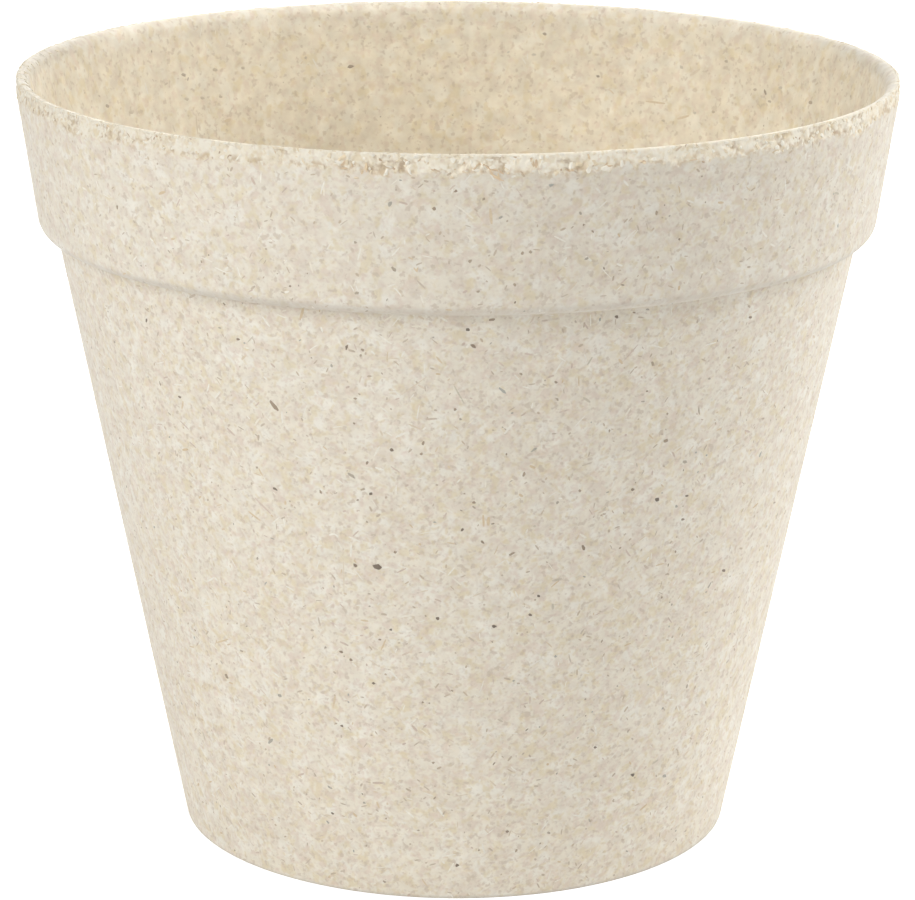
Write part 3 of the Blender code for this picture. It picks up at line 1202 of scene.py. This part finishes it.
darkSpecks = {
    "colours": [
        (0.17, 0.135, 0.10, 1), (0.31, 0.235, 0.165, 1), (0.46, 0.37, 0.265, 1), (0.43, 0.415, 0.365, 1),
    ],
    "roughness": 0.5,
    "outsideDensity": 17000.0,
    "insideDensity": 6500.0,
    "length": 0.44 * mm,
    "halfWidth": 0.15 * mm,
    "firstShade": 0.35,
    "flatness": 0.15,
    "seed": 41,
    "outsideMarks": [
        (-26.4, 73.5, -50, 2.01, 0.35, 0.45), (-12.2, 51.2, 0, 1.17, 0.5, 0.05),
        (-15.6, 51.2, -19, 0.67, 0.25, 0.2), (-15.3, 64.5, -36, 1.32, 0.23, 0.8),
        (-12.5, 62.0, -4, 0.52, 0.23, 0.05), (-13.7, 62.6, 18, 0.71, 0.18, 0.7),
        (-27.8, 61.2, -18, 0.83, 0.21, 0.1), (-14.8, 82.9, 67, 0.77, 0.18, 0.15),
        (-12.6, 82.7, -11, 0.49, 0.21, 0.5), (1.5, 86.0, -15, 0.52, 0.23, 0),
        (2.2, 83.7, -44, 0.84, 0.28, 0.3), (4.6, 87.4, 8, 0.93, 0.18, 0.45),
        (8.7, 79.6, -17, 0.44, 0.18, 0.6), (-14.0, 75.7, -11, 0.46, 0.2, 0.6),
        (-9.2, 68.6, -13, 0.59, 0.25, 0.15), (-4.9, 68.2, -14, 0.49, 0.21, 0.6),
        (6.3, 77.3, -44, 1.49, 0.18, 1), (-0.2, 74.7, -15, 0.46, 0.2, 0.5),
        (0.6, 73.3, -16, 0.43, 0.18, 0.8), (-4.6, 69.8, 63, 0.7, 0.18, 0.5),
        (11.1, 68.6, 36, 1.1, 0.18, 0.9), (9.8, 65.1, 71, 0.81, 0.18, 0.6),
        (2.7, 61.2, -16, 0.47, 0.2, 0.4), (1.0, 57.2, 70, 0.69, 0.18, 0.1),
        (4.1, 55.3, -49, 0.69, 0.18, 0.3), (19.9, 53.7, -70, 1.05, 0.2, 0.3),
        (8.6, 53.5, 22, 0.97, 0.18, 0.5), (-9.2, 53.6, -12, 0.53, 0.23, 0.5),
        (13.2, 46.9, -19, 0.5, 0.2, 0), (21.5, 86.9, -18, 0.56, 0.21, 0.1),
        (27.8, 79.6, -42, 0.75, 0.28, 0.65), (37.1, 71.6, -73, 1.4, 0.13, 0.7),
        (31.7, 68.0, -20, 0.96, 0.31, 0.5), (35.9, 64.3, -20, 0.81, 0.24, 0.8),
        (31.7, 59.4, -21, 0.76, 0.24, 0), (37.4, 59.1, -21, 0.69, 0.2, 0.1),
        (27.1, 61.5, -20, 0.58, 0.2, 0.3), (37.4, 55.6, -21, 0.69, 0.2, 0.3),
        (49.6, 45.7, -22, 0.95, 0.2, 0.15), (46.4, 44.1, 58, 1.05, 0.17, 0.8),
        (53.5, 62.3, 74, 1.0, 0.2, 1), (44.2, 83.9, -19, 0.78, 0.2, 0.3),
        (-48.2, 82.3, 56, 0.81, 0.15, 0.1), (-47.7, 73.3, -82, 0.81, 0.14, 0.5),
        (-43.7, 72.1, 1, 0.72, 0.21, 0.2), (-31.0, 82.4, -5, 0.57, 0.21, 0.3),
        (-19.1, 37.8, -8, 0.59, 0.24, 0.3), (-17.5, 36.8, -9, 0.45, 0.18, 0.3),
        (-13.8, 33.5, -11, 0.48, 0.2, 0.1), (-10.4, 41.9, -12, 0.4, 0.17, 0),
        (-44.0, 30.3, -64, 0.86, 0.28, 0.5), (-39.1, 35.1, 1, 0.72, 0.23, 0.7),
        (-32.0, 29.5, -2, 0.68, 0.24, 0.9), (-20.1, 26.3, -8, 0.5, 0.2, 0.1),
        (-21.2, 26.6, -7, 0.43, 0.17, 0.7), (-35.5, 21.8, 43, 1.27, 0.31, 0.9),
        (-23.6, 16.3, -22, 0.81, 0.21, 0.9), (-23.6, 12.2, -5, 0.51, 0.2, 0.05),
        (6.2, 42.7, -17, 0.65, 0.27, 0), (12.0, 44.2, -19, 0.5, 0.2, 0.1),
        (-2.8, 43.9, -15, 0.47, 0.2, 0.1), (26.1, 22.5, -22, 0.6, 0.2, 0.2),
        (35.2, 16.8, -24, 0.79, 0.23, 0), (43.7, 15.1, -24, 0.96, 0.23, 0.9),
        (0.6, 5.4, 18, 0.57, 0.24, 0.1), (10.1, 10.6, -20, 0.51, 0.2, 0.3),
        (-8.0, 103.5, -37, 0.64, 0.3, 0.9), (-2.7, 103.0, -14, 0.5, 0.23, 0.5),
        (3.1, 104.3, -15, 0.44, 0.2, 0.6), (-7.7, 94.7, -53, 0.84, 0.24, 0.75),
        (1.6, 96.0, 51, 0.56, 0.24, 0.7), (-12.4, 91.2, 27, 0.61, 0.21, 0.75),
        (2.6, 91.8, 9, 0.57, 0.17, 0.7), (8.9, 97.1, -16, 0.46, 0.2, 0.7), (11.1, 106.0, 23, 0.7, 0.21, 1),
        (-0.2, 105.4, -15, 0.44, 0.2, 0.4),
    ],
    "insideMarks": [
        (-134.6, 101.8, 18, 0.86, 0.25, 0.4), (-145.6, 101.7, 18, 0.65, 0.21, 0.6),
        (-116.5, 99.8, 17, 1.08, 0.24, 0.4), (-122.1, 97.9, 18, 0.91, 0.23, 0.7),
        (-163.4, 100.7, -5, 1.14, 0.28, 0.15), (166.9, 105.6, 11, 0.68, 0.24, 0.35),
        (158.0, 99.7, 9, 0.62, 0.21, 0.2), (168.4, 102.4, -2, 0.8, 0.18, 0.9),
        (127.4, 100.7, 49, 1.08, 0.21, 0.2), (125.5, 104.8, 1, 0.73, 0.18, 0.7),
        (124.3, 101.8, 0, 0.86, 0.21, 0.9), (116.3, 100.9, -2, 1.15, 0.24, 0.35),
        (137.1, 96.4, 4, 0.72, 0.21, 0.5), (129.6, 100.7, 2, 0.9, 0.24, 0.6),
        (126.1, 99.5, 1, 0.84, 0.21, 0.55), (144.2, 102.3, 6, 0.72, 0.23, 0.9),
        (140.6, 95.8, 5, 0.7, 0.21, 0.9), (-137.5, 98.0, 18, 0.79, 0.24, 0.6),
        (-134.4, 98.2, 18, 0.87, 0.25, 0.75), (-140.9, 97.8, 18, 0.67, 0.21, 0.6),
        (-140.6, 101.9, 18, 0.9, 0.28, 0.6), (146.1, 94.0, 6, 0.66, 0.21, 0.6),
        (136.3, 104.1, 4, 0.73, 0.21, 0.5),
    ],
}

rimCrumbs = {
    "colours": [
        (0.88, 0.835, 0.73, 1), (0.865, 0.81, 0.69, 1), (0.83, 0.755, 0.61, 1), (0.77, 0.65, 0.46, 1),
    ],
    "roughness": 0.8,
    "heldBy": "band",
    "outsideDensity": 800000.0,
    "insideDensity": 900000.0,
    "length": 0.85 * mm,
    "halfWidth": 0.26 * mm,
    "flatness": 0.42,
    "seed": 53,
}

rimFibres = {
    "colours": [
        (0.74, 0.59, 0.39, 1), (0.64, 0.49, 0.33, 1), (0.50, 0.38, 0.27, 1), (0.80, 0.69, 0.51, 1),
    ],
    "roughness": 0.7,
    "heldBy": "band",
    "outsideDensity": 120000.0,
    "insideDensity": 80000.0,
    "length": 0.6 * mm,
    "halfWidth": 0.14 * mm,
    "bow": 0.2,
    "flatness": 0.35,
    "seed": 67,
    "outsideMarks": [
        (-9.1, 109.2, -15, 0.45, 0.25, 0.5), (-10.7, 108.2, -84, 1.05, 0.25, 0),
        (-11.2, 107.6, 66, 0.53, 0.21, 0.1), (-7.5, 108.2, -15, 0.35, 0.21, 0.6),
        (-2.4, 108.1, -26, 0.78, 0.24, 0.55), (-2.9, 108.2, -4, 0.45, 0.17, 0.45),
        (-6.6, 108.3, -11, 0.23, 0.17, 0.6), (2.2, 108.6, 45, 1.08, 0.17, 0.3),
        (3.0, 108.9, -17, 1.0, 0.15, 0.35), (4.0, 108.4, -21, 1.37, 0.18, 0.4),
        (4.8, 108.0, -30, 1.42, 0.18, 0.3), (4.4, 107.4, -25, 1.48, 0.17, 0.05),
        (4.8, 107.0, -22, 1.46, 0.15, 0.1), (3.9, 107.9, -55, 0.9, 0.15, 0.2),
        (4.8, 107.4, -78, 1.31, 0.15, 0.1), (8.7, 109.1, -66, 1.14, 0.3, 0.2),
        (9.2, 108.9, 87, 0.97, 0.21, 0.35), (12.2, 108.0, -26, 0.25, 0.21, 0.65),
        (13.3, 107.9, -7, 1.07, 0.2, 0.5), (15.5, 109.6, -75, 0.82, 0.23, 0.15),
        (16.1, 108.3, -19, 0.23, 0.15, 0.6), (-0.6, 107.2, -3, 0.51, 0.35, 0.9),
        (-11.9, 106.8, -1, 0.59, 0.28, 0.95), (-3.6, 109.0, -15, 0.46, 0.17, 0.95),
        (-5.9, 109.2, -17, 0.6, 0.31, 0.8), (-3.7, 109.1, -19, 0.57, 0.28, 0.9),
        (-13.3, 108.0, -1, 0.72, 0.17, 0.2), (-8.4, 107.6, -6, 0.52, 0.24, 0.8),
        (0.9, 107.9, -15, 0.79, 0.31, 0.9), (7.6, 107.7, -50, 0.72, 0.17, 0.6),
        (18.1, 108.2, 0, 0.82, 0.23, 0.3), (22.3, 108.5, -14, 0.73, 0.21, 0.4),
        (25.3, 108.6, -44, 0.41, 0.21, 0.6), (29.1, 108.1, 2, 1.07, 0.21, 0.25),
        (30.5, 107.7, -23, 0.45, 0.24, 0.55),
    ],
}


def makeStrewn(surfaces):
    scatter = scatterTree()
    strands = strandsTree()
    chips = chipsTree()

    def strew(name, shaper, plan):
        values = scatterDefaults | plan | surfaces
        onBand = values["heldBy"] == "band"
        values["material"] = shadedMaterial(name, plan["colours"], plan["roughness"], onBand)
        marks = marksMesh(plan.get("outsideMarks", []), plan.get("insideMarks", []))
        finishPiece(grow(name, marks, strewnTree(name, scatter, shaper), values))

    strew("paleFibres", strands, paleFibres)
    strew("tanFibres", strands, tanFibres)
    strew("brownFibres", strands, brownFibres)
    strew("darkSpecks", chips, darkSpecks)
    strew("rimCrumbs", chips, rimCrumbs)
    strew("rimFibres", strands, rimFibres)


# Camera, fitted to the outline of the pot in the photograph

cameraView = {
    "distance": 550.9 * mm,          # level distance from the pot's axis
    "height": 206.7 * mm,
    "tilt": 15.489,                  # degrees below level
    "roll": 0.298,
    "aim": 0.0217,                   # degrees to the right of the axis
    "lens": 154.18,
    "sensor": 36,
    "clip": (0.01, 20),
}


def makeCamera(view):
    lens = bpy.data.cameras.new("photoCamera")
    lens.lens = view["lens"]
    lens.sensor_width = view["sensor"]
    lens.clip_start, lens.clip_end = view["clip"]
    camera = bpy.data.objects.new("photoCamera", lens)
    turn = Matrix.Rotation(math.radians(-view["aim"]), 4, "Z")
    turn = turn @ Matrix.Rotation(math.radians(90 - view["tilt"]), 4, "X")
    turn = turn @ Matrix.Rotation(math.radians(view["roll"]), 4, "Z")
    camera.matrix_world = Matrix.Translation((0, -view["distance"], view["height"])) @ turn
    bpy.context.scene.collection.objects.link(camera)
    bpy.context.scene.camera = camera
    print("camera placed")


# Studio: white floor and backdrop, a broad lamp on each side

studio = {
    "world": 0.15,
    "backdrop": 1.0,
    "paper": (0.88, 0.88, 0.88, 1),
    "glow": 0.6,
    "floorHalf": 3.0,
    "lampDistance": 1.1,
    "lamps": {                       # turn from the camera and height in degrees, size in metres, watts
        "leftSoftbox": (-50, 29, 0.7, 6.0),
        "topSoftbox": (-10, 55, 0.9, 3.1),
        "rightSoftbox": (100, 32, 0.7, 7.9),
        "backFill": (180, 25, 0.7, 4.8),
    },
}
white = (1, 1, 1, 1)


def makeLamps():
    for name, (turn, height, size, power) in studio["lamps"].items():
        light = bpy.data.lights.new(name, "AREA")
        light.shape = "SQUARE"
        light.size = size
        light.energy = power
        lamp = bpy.data.objects.new(name, light)
        turn, rise = math.radians(turn), math.radians(height)
        away = Vector((math.sin(turn) * math.cos(rise), -math.cos(turn) * math.cos(rise), math.sin(rise)))
        lamp.location = Vector((0, 0, potHeight / 2)) + away * studio["lampDistance"]
        lamp.rotation_euler = away.to_track_quat("Z", "Y").to_euler()
        bpy.context.scene.collection.objects.link(lamp)
    print(f"{len(studio['lamps'])} lamps placed")


def seenDirectly(tree):
    # 1 for what the camera sees, straight, in a gloss or through glass
    path = addNode(tree, "ShaderNodeLightPath")
    seen = calc("MAXIMUM", path["Is Camera Ray"], path["Is Glossy Ray"])
    return calc("MAXIMUM", seen, path["Is Transmission Ray"])


def mixShader(share, first, second):
    return addNode(share.tree, "ShaderNodeMixShader", {0: share, 1: first, 2: second})


def makeWorld():
    world = bpy.data.worlds.new("whiteStudio")
    bpy.context.scene.world = world
    world.use_nodes = True
    tree = world.node_tree
    tree.nodes.clear()
    lit, backdrop = (
        addNode(tree, "ShaderNodeBackground", {"Color": white, "Strength": studio[key]})
        for key in ("world", "backdrop")
    )
    addNode(tree, "ShaderNodeOutputWorld", {"Surface": mixShader(seenDirectly(tree), lit, backdrop)})
    print("white surroundings made")


def makeFloor():
    half = studio["floorHalf"]
    corners = [(-half, -half, 0), (half, -half, 0), (half, half, 0), (-half, half, 0)]
    mesh = bpy.data.meshes.new("whiteFloor")
    mesh.from_pydata(corners, [], [(0, 1, 2, 3)])
    material = bpy.data.materials.new("whiteFloor")
    material.use_nodes = True
    tree = material.node_tree
    tree.nodes.clear()
    paper = addNode(tree, "ShaderNodeBsdfDiffuse", {"Color": studio["paper"]})
    glow = addNode(tree, "ShaderNodeEmission", {"Color": white, "Strength": studio["glow"]})
    bright = addNode(tree, "ShaderNodeAddShader", {0: paper, 1: glow})
    look = mixShader(seenDirectly(tree), paper, bright)
    under = addNode(tree, "ShaderNodeNewGeometry")["Backfacing"]
    shown = mixShader(under, look, addNode(tree, "ShaderNodeBsdfTransparent"))
    addNode(tree, "ShaderNodeOutputMaterial", {"Surface": shown})
    mesh.materials.append(material)
    floor = bpy.data.objects.new("whiteFloor", mesh)
    bpy.context.scene.collection.objects.link(floor)
    print("floor made")


makeStrewn(makeWallAndRim())
makeCamera(cameraView)
makeLamps()
makeWorld()
makeFloor()
bpy.context.scene.view_settings.view_transform = "Standard"
